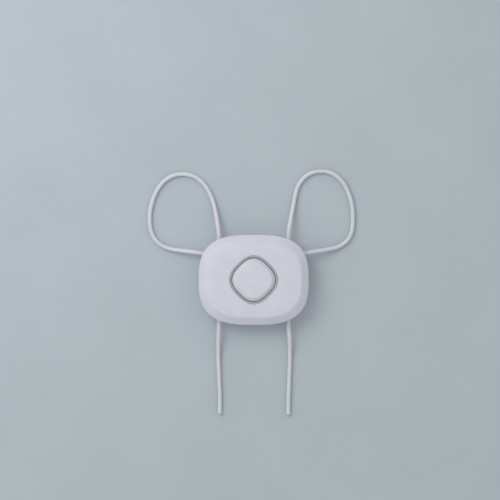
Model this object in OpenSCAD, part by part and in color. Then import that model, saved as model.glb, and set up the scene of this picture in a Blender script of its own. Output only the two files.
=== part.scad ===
// Cabinet safety lock. A two-part housing holds a sprung decoy button in its front and two cords. Each
// cord is fixed at one end, loops round a knob and runs back through the housing past a toothed cam, which
// lets its tail be pulled but bites when the loop is pulled. A hidden button in each side turns the cam away.
// Millimetres. The lock lies on its back: +Z points out of its front, +Y towards the loops.

/* [Housing] */
// Width of the housing
body_w = 76; // [72:0.5:84]
// Height of the housing, from the tails to the loops
body_h = 62.4; // [61:0.2:72]
// Squareness of the outline: 2 is an ellipse, and more is squarer
body_power = 2.9; // [2.8:0.1:3.6]
// Depth of the rear cover, from its back to the parting line
rear_depth = 12.5; // [12.5:0.1:15]
// Height of the front cover's straight rim
rim_h = 1.9; // [1.5:0.1:4]
// Width of the bevel round the front
bevel_w = 5.1; // [4:0.1:6.5]
// Rise of the bevel
bevel_h = 4.3; // [3.8:0.1:6]
// Rise of the crowned front from the bevel to the trim ring
crown_h = 0.6; // [0.3:0.1:1.5]
// Thickness of the walls and of the front
wall = 2; // [1.6:0.1:2.3]
// Thickness of the back
back_t = 2; // [1.6:0.1:2.2]
// Rounding of the back's edge
back_r = 3; // [2:0.1:4]
// How far the rear cover's sides lean in towards the back
lean = 0.9; // [0.5:0.1:1.2]
// Step of the rear cover inside the front cover's rim
reveal = 0.25; // [0.1:0.05:0.5]
// Height of the locating lip inside the parting line
lip_h = 1.2; // [0.8:0.1:1.4]
// Thickness of the locating lip
lip_t = 1.2; // [0.8:0.1:1.4]

/* [Decoy button] */
// Width of the button across its flat sides
button_w = 27.4; // [24:0.2:28]
// Squareness of the button's outline
button_power = 2.7; // [2.4:0.1:3.2]
// Height of the button's top over the front
button_proud = 1.6; // [1:0.1:2.2]
// Crown of the button's top
button_crown = 0.3; // [0.1:0.1:0.6]
// Width of the chamfer round the button's top
shoulder_w = 1.9; // [1.2:0.1:3]
// Height of that chamfer
shoulder_h = 2.2; // [1.4:0.1:2.6]
// Wall of the hollow button
button_wall = 1.5; // [1.2:0.1:2]
// Travel of the button
button_travel = 1.8; // [1:0.1:2.5]
// Width of the flange that keeps the button in
button_flange_w = 1.5; // [1:0.1:1.5]
// Thickness of that flange
button_flange_t = 1.4; // [1:0.1:1.8]
// Width of the trim ring
ring_w = 1.45; // [1:0.05:2.2]
// Depth of the trim ring's seat
ring_depth = 2.2; // [1.5:0.1:2.6]
// Fall of the trim ring's top towards the button
ring_dip = 0.5; // [0.2:0.1:1]
// Depth of the collar that guides the button, from the front
collar_depth = 6.7; // [5.5:0.1:7]
// Wall of that collar
collar_t = 1.5; // [1.5:0.1:2]

/* [Cords] */
// Diameter of a cord
cord_d = 2.9; // [2.5:0.1:3]
// Distance of each cord from the housing's side
cord_inset = 14; // [13.75:0.25:15]
// Height of the cords over the back
cord_z = 6.5; // [6.2:0.1:7]
// Where the fixed end of each cord enters the side, above the middle
anchor_y = 18.4; // [17:0.2:19]
// Diameter of the crimped sleeve on the fixed end
anchor_d = 4; // [3.6:0.1:4.4]
// Length of that sleeve
anchor_l = 3.8; // [3:0.1:4]
// Wall of the tubes that guide the cord
guide_wall = 0.9; // [0.7:0.1:1]
// Where the upper guide ends, above the middle
upper_guide_y = 13.5; // [10:0.5:15]
// Where the lower guide ends, below the middle
lower_guide_y = 19.5; // [19:0.5:22]

/* [Cams] */
// Thickness of a cam
cam_t = 5.6; // [5:0.1:5.8]
// Where the cams turn, below the middle
cam_drop = 12.2; // [12:0.1:13]
// Diameter of a cam's hub
cam_hub_d = 5.2; // [4.6:0.1:5.4]
// Diameter of a cam's pin
pin_d = 2.5; // [2:0.1:2.8]
// Reach of a cam's arm, from its pin to its tip
arm_l = 9; // [8:0.1:10]
// Radius of the arm's tip
arm_tip_r = 1.2; // [1:0.1:1.3]
// Radius of the nose at its first tooth
nose_r = 4.35; // [4.2:0.05:4.5]
// Growth of that radius from the first tooth to the last
nose_rise = 1.9; // [1.7:0.1:2]
// Number of teeth
tooth_count = 7; // [5:1:8]
// Depth of a tooth
tooth_depth = 0.45; // [0.3:0.05:0.6]

/* [Release buttons] */
// Length of a release button along the side
release_w = 16; // [14:0.5:17]
// Height of a release button
release_h = 6; // [5:0.1:6.2]
// Travel of a release button
release_travel = 2.5; // [2:0.1:2.5]
// How far a release button stands out of the side
release_proud = 0.6; // [0.3:0.1:0.7]
// Thickness of the flange that keeps a release button in
release_flange_t = 1.4; // [1:0.1:1.5]
// Width of that flange round the button
release_flange_w = 0.7; // [0.5:0.1:0.8]

/* [Springs and screws] */
// Wire of the decoy button's spring
decoy_wire = 0.7; // [0.5:0.05:0.8]
// Outer diameter of the decoy button's spring
decoy_spring_d = 8; // [7.5:0.1:8.5]
// Wire of a release button's spring
release_wire = 0.45; // [0.35:0.05:0.5]
// Outer diameter of a release button's spring
release_spring_d = 4.4; // [4.2:0.1:4.6]
// Wire of a cam's spring
cam_wire = 0.5; // [0.4:0.05:0.5]
// Distance of the screws from the middle, across
screw_x = 13; // [12:0.5:14]
// Distance of the screws from the middle, up and down
screw_y = 21; // [20.5:0.1:21.5]
// Diameter of a screw's thread
screw_d = 3; // [2.8:0.1:3.2]
// Length of a screw under its head
screw_l = 12.4; // [11:0.1:12.6]
// Diameter of a screw's head
head_d = 5.4; // [5:0.1:5.8]
// Height of a screw's head
head_h = 2; // [1.6:0.1:2.4]

/* [Hidden] */
$fn = 48;

// Facets: points round an outline, steps in a soft corner, steps in the back's rounding
outline_steps = 80;
soft_steps = 3;
back_steps = 4;
// Sides of a cord and of a spring's wire, and steps in one turn of a spring
cord_sides = 8;
wire_sides = 6;
turn_steps = 8;

// Clearances: overrun of every cut, a running pin, a seated pin, flat stops, and sliding buttons
overrun = 1;
run_gap = 0.05;
seat_gap = 0.02;
stop_gap = 0.1;
button_gap = 0.25;
release_gap = 0.2;
// Clearances: the lip in the rear cover, the ring in its seat, the cord in its bores, the cam off the cord
lip_gap = 0.15;
ring_gap = 0.05;
cord_gap = 0.25;
bite_gap = 0.12;
// Clearances: the cam over its seat, the button off the cam's arm, the sleeve in its cradle
cam_gap = 0.15;
push_gap = 0.2;
anchor_gap = 0.1;

// Heights over the back
part_z = rear_depth;
rim_z = part_z + rim_h;
bevel_z = rim_z + bevel_h;
front_z = bevel_z + crown_h;
ceiling_z = bevel_z - wall;
button_z = front_z + button_proud;
collar_z = front_z - collar_depth;

// Softness of the housing's edges, and where the crown of the front ends
edge_soft = 0.9;
brow_soft = 0.8;
crown_run = 8;
crown_inset = bevel_w + crown_run;
inner_soft = 0.6;
bevel_wall = wall * norm([bevel_w, bevel_h]) / bevel_w;
lip_inset = reveal + wall + lip_gap;
cavity_inset = lip_inset + lip_t;
ceiling_inset = bevel_w * (ceiling_z + bevel_wall - rim_z) / bevel_h;

// The decoy button and what holds it
diamond_turn = 45;
button_half = button_w / 2;
opening_half = button_half + button_gap;
ring_half = opening_half + ring_w;
collar_half = opening_half + collar_t;
flange_half = button_half + button_flange_w;
flange_top_z = collar_z - stop_gap;
flange_z = flange_top_z - button_flange_t;
shoulder_z = button_z - button_crown - shoulder_h;
button_ceiling_z = button_z - button_crown - button_wall;
shoulder_soft = 0.5;
crown_shares = [0.5, 0.1];
spigot_h = 2.3;
decoy_pad_z = flange_z + spigot_h;
decoy_pad_wall = 1;
decoy_pad_r = decoy_spring_d / 2 + decoy_pad_wall;
spigot_gap = 0.5;
spigot_r = decoy_spring_d / 2 - decoy_wire - spigot_gap;
decoy_seat_wall = 0.9;
decoy_recess = 1;
travel_room = 2.1;
decoy_seat_top_z = flange_z - button_travel - travel_room;
decoy_seat_z = decoy_seat_top_z - decoy_recess;
decoy_turns = 5;

// A cord and its guides
cord_x = body_w / 2 - cord_inset;
cord_r = cord_d / 2;
bore_r = cord_r + cord_gap;
guide_r = bore_r + guide_wall;
anvil_t = 1.8;
anvil_gap = 0.3;
anvil_face_x = cord_x - cord_r - anvil_gap;
anvil_rise = 5;
anvil_fall = 7;
ridge_r = 0.18;
ridge_step = 1.6;

// The sleeve on a cord's fixed end, in its cradle
anchor_room = 0.45;
anchor_wall = 1.3;
anchor_end = 0.45;
anchor_x = cord_x + guide_r + anchor_room;
anchor_pocket_r = anchor_d / 2 + anchor_gap;
anchor_pocket_l = anchor_l + anchor_gap * 2;
anchor_half = anchor_pocket_r + anchor_wall;
anchor_top_z = cord_z + anchor_half - anchor_gap;
keeper_r = 1.4;
keeper_foot = 0.6;
keeper_x = anchor_x + anchor_l / 2;
keeper_z = cord_z + anchor_d / 2 + anchor_gap;

// A cam: its teeth lie on a growing radius, and the farthest one sets where the pin stands
tooth_start = -7;
tooth_turn = 9;
teeth = [for (i = [0:tooth_count - 1]) nose_tip(i, 0)];
cam_reach = max([for (t = teeth) -t[0]]);
cam_x = cord_x + cord_r + bite_gap + cam_reach;
cam_y = -cam_drop;
cam_z = cord_z - cam_t / 2;
cam_top_z = cam_z + cam_t;
arm_root_share = 0.7;
arm_end_share = 0.67;
arm_tip_y = cam_y + arm_l;

// A cam's pin and its two seats
pin_skin = 1;
pin_hold = 2.4;
pin_boss_r = cam_hub_d / 2;
cam_spring_turns = 3;
cam_spring_pitch = 0.95;
cam_spring_r = pin_d / 2 + cam_wire;
cam_spring_z = cam_top_z + cam_gap + cam_wire / 2;
cam_spring_top_z = cam_spring_z + cam_spring_turns * cam_spring_pitch;
spring_room = 0.3;
pin_boss_z = cam_spring_top_z + cam_wire / 2 + spring_room;
pin_top_z = pin_boss_z + pin_hold;
spring_leg = 5.4;
leg_stop_y = 4.6;
arm_stop_r = 0.5;
rear_stop_r = 0.6;

// A release button in its window
nub_l = 0.95;
nub_h = 4;
nub_over = 0.5;
nub_x = cam_x + arm_tip_r + push_gap;
release_in_x = nub_x + nub_l;
release_out_x = release_in_x + release_flange_t;
pad_x = release_out_x + stop_gap;
pad_rim = 1.2;
release_lean = lean * (rear_depth - cord_z) / (rear_depth - back_r);
release_face_x = body_w / 2 - reveal - release_lean + release_proud;
release_face_r = 120;
arm_room = 3.6;
release_low_y = cam_y + cam_hub_d / 2 + arm_room;
release_flange_y = release_w / 2 + release_flange_w + release_gap;
release_flange_half = release_h / 2 + release_flange_w;
release_spring_y = 4.8;
release_turns = 4.5;
release_seat_t = 1.2;
release_seat_x = cord_x + bore_r + release_seat_t + guide_wall / 2;
release_seat_half = release_spring_d / 2 + guide_wall / 2;
release_post_gap = 0.35;
release_post_r = release_spring_d / 2 - release_wire - release_post_gap;
post_room = 1.25;
release_post_x = release_seat_x + release_travel + post_room;

// Screws, in their bosses
screw_gap = 0.2;
head_gap = 0.3;
boss_wall = 1.2;
head_sink = 2;
head_seat_z = head_sink + head_h;
rear_boss_r = head_d / 2 + head_gap + boss_wall;
pilot_bite = 0.25;
pilot_r = screw_d / 2 - pilot_bite;
front_boss_wall = 1.8;
front_boss_r = pilot_r + front_boss_wall;
screw_point = 1.5;
point_share = 0.25;
drive_w = 0.9;
drive_l = 3.2;
drive_depth = 1;

// Routes of the cords, from the fixed end to the tail
left_route = [
    [-27.75, 18.4, 6.5], [-35.5, 18.4, 6.5], [-41, 19.1, 6.4], [-46.5, 19.8, 5.4], [-52, 20.4, 3.7],
    [-57.5, 21.3, 2.2], [-62.5, 23.2, 1.55], [-66.8, 26.3, 1.55], [-69.8, 30.5, 1.55], [-71.5, 35.5, 1.55],
    [-72.1, 41, 1.55], [-71.7, 48, 1.55], [-70, 55, 1.55], [-67, 62, 1.55], [-62.8, 67.6, 1.55],
    [-57.5, 71.4, 1.55], [-51.5, 73.2, 1.55], [-45.5, 72.8, 1.55], [-40, 70.8, 1.55], [-35.5, 67.3, 1.55],
    [-32, 62.8, 1.55], [-29.6, 58, 1.55], [-27.6, 52, 2.1], [-26.2, 46, 3.5], [-25.2, 40, 5.4],
    [-24.3, 34, 6.4], [-24, 28, 6.5], [-24, 0, 6.5], [-24, -28, 6.5], [-24.1, -34, 6.4],
    [-24.4, -40, 5.4], [-24.5, -46, 3.5], [-24.5, -52, 2.1], [-24.4, -58, 1.55], [-24.1, -65, 1.55],
    [-23.8, -72, 1.55], [-23.5, -79, 1.55], [-23.5, -86, 1.55], [-23.5, -91.8, 1.55]];
right_route = [
    [27.75, 18.4, 6.5], [35.5, 18.4, 6.5], [41, 19.4, 6.4], [46.5, 20.2, 5.4], [52, 21.2, 3.7],
    [57.5, 22.5, 2.2], [62, 24.8, 1.55], [65.5, 28.2, 1.55], [67.7, 32.8, 1.55], [68.6, 38.5, 1.55],
    [68.7, 45, 1.55], [67.9, 52.4, 1.55], [65.9, 59.6, 1.55], [62.6, 66.4, 1.55], [57.8, 71.6, 1.55],
    [51.8, 74.6, 1.55], [45.4, 75.2, 1.55], [39.2, 73.6, 1.55], [34.2, 70, 1.55], [30.8, 65, 1.55],
    [28.9, 59, 1.55], [27.6, 52, 2.1], [26.4, 46, 3.5], [25.3, 40, 5.4], [24.3, 34, 6.4],
    [24, 28, 6.5], [24, 0, 6.5], [24, -28, 6.5], [24.2, -34, 6.4], [24.8, -40, 5.4],
    [25, -46, 3.5], [25, -52, 2.1], [25, -58, 1.55], [24.7, -65, 1.55], [24.5, -72, 1.55],
    [24.2, -79, 1.55], [24, -86, 1.55], [24, -92.5, 1.55]];
// Slopes of the rings that round off a tail's end
tip_slopes = [35, 65, 80];

shell_colour = "white";
ring_colour = "silver";
cam_colour = "lightsteelblue";
steel_colour = "gray";

// Geometry helpers

function unit(v) = v / norm(v);

// A corner b between a and c, rounded from a given reach on each side of it
function soft_corner(a, b, c, reach) =
    let (p = b + unit(a - b) * reach, q = b + unit(c - b) * reach)
    [for (k = [0:soft_steps])
        let (t = k / soft_steps)
        (1 - t) * (1 - t) * p + 2 * t * (1 - t) * b + t * t * q];

// A squared ellipse at one height
function outline(half_x, half_y, power, z, turn) =
    [for (i = [0:outline_steps - 1])
        let (a = 360 * i / outline_steps)
        let (r = pow(pow(abs(cos(a)) / half_x, power) + pow(abs(sin(a)) / half_y, power), -1 / power))
        [r * cos(a + turn), r * sin(a + turn), z]];

function body_ring(p) = outline(body_w / 2 - p[0], body_h / 2 - p[0], body_power, p[1], 0);
function diamond_ring(p) = outline(p[0], p[0], button_power, p[1], diamond_turn);

// Triangles between each ring and the next, and the rings' count
function between(lower, upper, n) =
    [for (i = [0:n - 1])
        let (j = (i + 1) % n)
        each [[lower * n + i, upper * n + i, upper * n + j], [lower * n + i, upper * n + j, lower * n + j]]];

// A solid through rings, closed flat at both ends
module loft(rings) {
    n = len(rings[0]);
    last = len(rings) - 1;
    foot = [for (i = [0:n - 1]) i];
    head = [for (i = [n - 1:-1:0]) last * n + i];
    sides = [for (k = [0:last - 1]) each between(k, k + 1, n)];
    polyhedron(points = [for (r = rings) each r], faces = concat([foot, head], sides));
}

// A solid through rings whose last meets the first, as a frame round an opening
module hoop(rings) {
    n = len(rings[0]);
    count = len(rings);
    sides = [for (k = [0:count - 1]) each between(k, (k + 1) % count, n)];
    polyhedron(points = [for (r = rings) each r], faces = sides);
}

// The direction of a path at one of its points
function heading(path, i) = unit(path[min(i + 1, len(path) - 1)] - path[max(i - 1, 0)]);

// A ring of a tube, square to its heading
function tube_ring(centre, way, r, sides) =
    let (across = unit(cross([0, 0, 1], way)), up = cross(way, across))
    [for (k = [0:sides - 1]) centre + r * (cos(360 * k / sides) * across + sin(360 * k / sides) * up)];

function tube_rings(path, r, sides) =
    [for (i = [0:len(path) - 1]) tube_ring(path[i], heading(path, i), r, sides)];

// Points of a spring's wire, which climbs as it turns
function coil(r, z, pitch, turns, start, way) =
    [for (k = [0:turns * turn_steps])
        let (a = start + way * 360 * k / turn_steps)
        [r * cos(a), r * sin(a), z + pitch * k / turn_steps]];

// The point of a tooth, or of the notch after it, as seen from the cam's pin
function nose_tip(i, depth) =
    let (r = nose_r + nose_rise * i / (tooth_count - 1) - depth, a = tooth_start + tooth_turn * i)
    [-r * cos(a), -r * sin(a)];

// A drum along X, from x0 to x1
module drum_x(x0, x1, y, z, r) {
    translate([x0, y, z])
        rotate([0, 90, 0])
            cylinder(r = r, h = x1 - x0);
}

// A drum along Y, from y0 to y1
module drum_y(x, y0, y1, z, r) {
    translate([x, y0, z])
        rotate([-90, 0, 0])
            cylinder(r = r, h = y1 - y0);
}

// A drum along Z, from z0 to z1
module drum_z(x, y, z0, z1, r) {
    translate([x, y, z0])
        cylinder(r = r, h = z1 - z0);
}

// A block between two opposite corners
module block(low, high) {
    translate(low)
        cube(high - low);
}

// What is made for the right side, on both sides
module both_sides() {
    children();
    mirror([1, 0, 0])
        children();
}

// What is made at one screw, at all four
module four_screws() {
    for (x = [-screw_x, screw_x])
        for (y = [-screw_y, screw_y])
            translate([x, y, 0])
                children();
}

// A straight prism of the button's outline
module diamond_prism(half, z0, z1) {
    loft([diamond_ring([half, z0]), diamond_ring([half, z1])]);
}

// Rear cover

module rear_outer() {
    foot_inset = reveal + lean + back_r;
    round_edge = [for (k = [0:back_steps])
        let (a = 90 * k / back_steps)
        [foot_inset - back_r * sin(a), back_r - back_r * cos(a)]];
    profile = concat(round_edge, [[reveal, part_z]]);
    loft([for (p = profile) body_ring(p)]);
}

module rear_cavity() {
    side_inset = reveal + lean + wall;
    profile = [
        [side_inset + inner_soft, back_t],
        [side_inset, back_t + inner_soft],
        [reveal + wall, part_z - lip_h - lip_gap],
        [reveal + wall, part_z + overrun]];
    loft([for (p = profile) body_ring(p)]);
}

// Tubes that lead the cord in and out, each on a web
module cord_guides() {
    web = guide_wall / 2;
    drum_y(cord_x, upper_guide_y, body_h / 2, cord_z, guide_r);
    block([cord_x - web, upper_guide_y, 0], [cord_x + web, body_h / 2, cord_z]);
    drum_y(cord_x, -body_h / 2, -lower_guide_y, cord_z, guide_r);
    block([cord_x - web, -body_h / 2, 0], [cord_x + web, -lower_guide_y, cord_z]);
}

// The ridged wall that the cam presses the cord against
module anvil() {
    block([anvil_face_x - anvil_t, cam_y - anvil_fall, 0], [anvil_face_x, cam_y + anvil_rise, cam_top_z]);
    for (y = [cam_y - anvil_fall + ridge_step:ridge_step:cam_y + anvil_rise - ridge_step])
        drum_z(anvil_face_x, y, 0, cam_top_z, ridge_r);
}

// The side button's flat frame inside the wall, up to the front cover's lip, and the rib behind its spring
module release_supports() {
    half_y = release_w / 2 + release_gap + pad_rim;
    top_z = part_z - lip_h - lip_gap;
    block([pad_x, -half_y, 0], [body_w / 2, half_y, top_z]);
    block([release_seat_x - release_seat_t, release_spring_y - release_seat_half, 0],
        [release_seat_x, release_spring_y + release_seat_half, cord_z + release_seat_half]);
}

module rear_ribs() {
    both_sides() {
        cord_guides();
        anvil();
        release_supports();
        block([anchor_x, anchor_y - anchor_half, 0], [body_w / 2, anchor_y + anchor_half, anchor_top_z]);
        drum_z(cam_x, cam_y, 0, cam_z - cam_gap, pin_boss_r);
        drum_z(cam_x + rear_stop_r + stop_gap + cam_wire / 2 - cam_spring_r, cam_y - leg_stop_y, 0,
            cam_spring_z + cam_wire, rear_stop_r);
    }
    four_screws()
        drum_z(0, 0, 0, part_z, rear_boss_r);
    drum_z(0, 0, 0, decoy_seat_top_z, decoy_spring_d / 2 + decoy_seat_wall);
}

// The cradle's pocket, open to the front, and the cord's way out of it
module anchor_pocket() {
    x0 = anchor_x - anchor_room / 2;
    x1 = anchor_x + anchor_pocket_l;
    slot_half = (anchor_d + anchor_gap) / 2;
    drum_x(x0, x1, anchor_y, cord_z, anchor_pocket_r);
    block([x0, anchor_y - slot_half, cord_z], [x1, anchor_y + slot_half, anchor_top_z + overrun]);
    drum_x(x1 - overrun, body_w / 2 + overrun, anchor_y, cord_z, bore_r);
}

module release_window() {
    half_y = release_w / 2 + release_gap;
    half_z = release_h / 2 + release_gap;
    block([pad_x - overrun, -half_y, cord_z - half_z], [body_w / 2 + overrun, half_y, cord_z + half_z]);
}

// Room for the flange of a release button over its travel
module release_room() {
    half_z = release_flange_half + release_gap;
    block([release_in_x - release_travel - stop_gap, release_low_y - release_gap, cord_z - half_z],
        [pad_x, release_flange_y + release_gap, cord_z + half_z]);
}

// Room for the hub of a cam and for its spring
module cam_room() {
    drum_z(cam_x, cam_y, cam_z - cam_gap / 2, pin_boss_z, cam_hub_d / 2 + cam_gap);
}

module rear_holes() {
    both_sides() {
        release_room();
        cam_room();
        drum_y(cord_x, upper_guide_y - overrun, body_h / 2 + overrun, cord_z, bore_r);
        drum_y(cord_x, -body_h / 2 - overrun, overrun - lower_guide_y, cord_z, bore_r);
        anchor_pocket();
        release_window();
        drum_z(cam_x, cam_y, pin_skin, cam_z + overrun, pin_d / 2 + seat_gap);
    }
    four_screws() {
        drum_z(0, 0, -overrun, head_seat_z, head_d / 2 + head_gap);
        drum_z(0, 0, 0, part_z + overrun, screw_d / 2 + screw_gap);
    }
    drum_z(0, 0, decoy_seat_z, decoy_seat_top_z + overrun, decoy_spring_d / 2 + stop_gap);
}

module rear_cover() {
    color(shell_colour)
        difference() {
            rear_outer();
            difference() {
                rear_cavity();
                rear_ribs();
            }
            rear_holes();
        }
}

// Front cover

module front_outer() {
    foot = [0, part_z];
    rim = [0, rim_z];
    brow = [bevel_w, bevel_z];
    top = [crown_inset, front_z];
    profile = concat(
        [[lip_inset, part_z - lip_h], [lip_inset, part_z], foot],
        soft_corner(foot, rim, brow, edge_soft),
        soft_corner(rim, brow, top, brow_soft),
        [top]);
    loft([for (p = profile) body_ring(p)]);
}

module front_cavity() {
    profile = [
        [cavity_inset, part_z - lip_h - overrun],
        [cavity_inset, rim_z + bevel_h * cavity_inset / bevel_w - bevel_wall],
        [ceiling_inset, ceiling_z]];
    loft([for (p = profile) body_ring(p)]);
}

// The cavity, with room for what the rear cover and the moving pieces bring up to the lip
module front_rooms() {
    front_cavity();
    both_sides() {
        release_window();
        release_room();
        cam_room();
    }
    four_screws()
        drum_z(0, 0, part_z - lip_h - overrun, part_z, rear_boss_r + lip_gap);
}

module front_ribs() {
    diamond_prism(collar_half, collar_z, front_z);
    four_screws()
        drum_z(0, 0, part_z, front_z, front_boss_r);
    both_sides() {
        drum_z(cam_x, cam_y, pin_boss_z, front_z, pin_boss_r);
        drum_z(keeper_x, anchor_y, part_z, front_z, keeper_r + keeper_foot);
    }
}

module front_cover() {
    color(shell_colour) {
        difference() {
            front_outer();
            difference() {
                front_rooms();
                front_ribs();
            }
            diamond_prism(opening_half, part_z - lip_h - overrun, front_z + overrun);
            diamond_prism(ring_half + ring_gap, front_z - ring_depth, front_z + overrun);
            four_screws()
                drum_z(0, 0, part_z - overrun, head_seat_z + screw_l + screw_gap, pilot_r);
            both_sides()
                drum_z(cam_x, cam_y, pin_boss_z - overrun, pin_top_z + stop_gap, pin_d / 2 + seat_gap);
        }
        both_sides()
            drum_z(keeper_x, anchor_y, keeper_z, rim_z, keeper_r);
    }
}

// The decoy button, its ring and its spring

module button_trim_ring() {
    color(ring_colour)
        hoop([
            diamond_ring([ring_half, front_z - ring_depth]),
            diamond_ring([ring_half, front_z]),
            diamond_ring([opening_half, front_z - ring_dip]),
            diamond_ring([opening_half, front_z - ring_depth])]);
}

module decoy_outer() {
    side = [button_half, shoulder_z];
    brow = [button_half - shoulder_w, button_z - button_crown];
    top = [0, button_z];
    profile = concat(
        [[flange_half, flange_z], [flange_half, flange_top_z], [button_half, flange_top_z]],
        soft_corner([button_half, flange_top_z], side, brow, shoulder_soft),
        soft_corner(side, brow, top, shoulder_soft),
        [for (s = crown_shares) [button_half * s, button_z - button_crown * s * s]]);
    loft([for (p = profile) diamond_ring(p)]);
}

module decoy_button() {
    inner = button_half - button_wall;
    color(shell_colour)
        difference() {
            decoy_outer();
            difference() {
                loft([
                    diamond_ring([inner, flange_z - overrun]),
                    diamond_ring([inner, button_ceiling_z - shoulder_h]),
                    diamond_ring([inner - shoulder_w, button_ceiling_z])]);
                drum_z(0, 0, decoy_pad_z, button_z, decoy_pad_r);
                drum_z(0, 0, flange_z, button_z, spigot_r);
            }
        }
}

module decoy_spring() {
    r = (decoy_spring_d - decoy_wire) / 2;
    z0 = decoy_seat_z + stop_gap + decoy_wire / 2;
    z1 = decoy_pad_z - stop_gap - decoy_wire / 2;
    color(steel_colour)
        loft(tube_rings(coil(r, z0, (z1 - z0) / decoy_turns, decoy_turns, 0, 1), decoy_wire / 2, wire_sides));
}

// A release button and its spring, on the right

module release_cap() {
    half_z = release_h / 2;
    intersection() {
        block([release_out_x - stop_gap, -release_w / 2, cord_z - half_z],
            [release_face_x, release_w / 2, cord_z + half_z]);
        translate([release_face_x - release_face_r, 0, 0])
            cylinder(r = release_face_r, h = part_z, $fn = 360);
    }
}

module release_button() {
    color(shell_colour) {
        release_cap();
        block([release_in_x, release_low_y, cord_z - release_flange_half],
            [release_out_x, release_flange_y, cord_z + release_flange_half]);
        block([nub_x, arm_tip_y - arm_tip_r, cord_z - nub_h / 2],
            [release_out_x, arm_tip_y + arm_tip_r + nub_over, cord_z + nub_h / 2]);
        drum_x(release_post_x, release_out_x, release_spring_y, cord_z, release_post_r);
    }
}

module release_spring() {
    r = (release_spring_d - release_wire) / 2;
    x0 = release_seat_x + stop_gap + release_wire / 2;
    x1 = release_in_x - stop_gap - release_wire / 2;
    path = coil(r, 0, (x1 - x0) / release_turns, release_turns, 0, 1);
    color(steel_colour)
        translate([x0, release_spring_y, cord_z])
            rotate([0, 90, 0])
                loft(tube_rings(path, release_wire / 2, wire_sides));
}

// A cam, its pin and its spring, on the right

module cam_profile() {
    root = cam_hub_d * arm_root_share / 2;
    end = arm_tip_r * arm_end_share;
    notches = [for (i = [0:tooth_count - 1]) each i < tooth_count - 1
        ? [teeth[i], (nose_tip(i, tooth_depth) + nose_tip(i + 1, tooth_depth)) / 2]
        : [teeth[i]]];
    circle(r = cam_hub_d / 2);
    polygon(concat([[0, 0]], notches));
    polygon([[-root, 0], [root, 0], [end, arm_l], [-end, arm_l]]);
    translate([0, arm_l])
        circle(r = arm_tip_r);
}

module cam() {
    color(cam_colour)
        translate([cam_x, cam_y, 0]) {
            translate([0, 0, cam_z])
                linear_extrude(cam_t)
                    difference() {
                        cam_profile();
                        circle(r = pin_d / 2 + run_gap);
                    }
            drum_z(arm_stop_r + stop_gap + cam_wire / 2 - cam_spring_r, leg_stop_y, cam_z,
                cam_spring_top_z + cam_wire / 2, arm_stop_r);
        }
}

module cam_pin() {
    color(steel_colour)
        drum_z(cam_x, cam_y, pin_skin, pin_top_z, pin_d / 2);
}

module cam_spring() {
    turns = coil(cam_spring_r, cam_spring_z, cam_spring_pitch, cam_spring_turns, 180, -1);
    low_leg = [-cam_spring_r, -spring_leg, cam_spring_z];
    high_leg = [-cam_spring_r, spring_leg, cam_spring_top_z];
    color(steel_colour)
        translate([cam_x, cam_y, 0])
            loft(tube_rings(concat([low_leg], turns, [high_leg]), cam_wire / 2, wire_sides));
}

// Cords and their sleeves

module cord(route) {
    last = len(route) - 1;
    way = heading(route, last);
    tip = [for (a = tip_slopes)
        tube_ring(route[last] + way * cord_r * sin(a), way, cord_r * cos(a), cord_sides)];
    color(shell_colour)
        loft(concat(tube_rings(route, cord_r, cord_sides), tip));
}

module cord_anchor() {
    x0 = anchor_x + anchor_gap;
    color(ring_colour)
        difference() {
            drum_x(x0, x0 + anchor_l, anchor_y, cord_z, anchor_d / 2);
            drum_x(x0 + anchor_end, x0 + anchor_l + overrun, anchor_y, cord_z, cord_r + seat_gap);
        }
}

// Screws

module housing_screw() {
    tip_z = head_seat_z + screw_l;
    difference() {
        drum_z(0, 0, head_sink, head_seat_z, head_d / 2);
        for (turn = [0, 90])
            rotate([0, 0, turn])
                block([-drive_l / 2, -drive_w / 2, head_sink - overrun],
                    [drive_l / 2, drive_w / 2, head_sink + drive_depth]);
    }
    drum_z(0, 0, head_seat_z, tip_z - screw_point, screw_d / 2);
    translate([0, 0, tip_z - screw_point])
        cylinder(r1 = screw_d / 2, r2 = screw_d / 2 * point_share, h = screw_point);
}

module housing_screws() {
    color(steel_colour)
        four_screws()
            housing_screw();
}

// The pieces of each side

module left_release_button() {
    mirror([1, 0, 0]) release_button();
}

module left_release_spring() {
    mirror([1, 0, 0]) release_spring();
}

module left_cam() {
    mirror([1, 0, 0]) cam();
}

module left_cam_pin() {
    mirror([1, 0, 0]) cam_pin();
}

module left_cam_spring() {
    mirror([1, 0, 0]) cam_spring();
}

module left_cord_anchor() {
    mirror([1, 0, 0]) cord_anchor();
}

front_cover();
rear_cover();
button_trim_ring();
decoy_button();
decoy_spring();
left_release_button();
release_button();  // right_release_button
left_release_spring();
release_spring();  // right_release_spring
left_cam();
cam();  // right_cam
left_cam_pin();
cam_pin();  // right_cam_pin
left_cam_spring();
cam_spring();  // right_cam_spring
cord(left_route);  // left_cord
cord(right_route);  // right_cord
left_cord_anchor();
cord_anchor();  // right_cord_anchor
housing_screws();
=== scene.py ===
# Cabinet safety lock: the finish of its housing, buttons, springs, screws and cords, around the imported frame.
# Metres, in the frame's own axes: the lock lies on its back, +Z out of its front, +Y towards the loops.
import math

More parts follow.
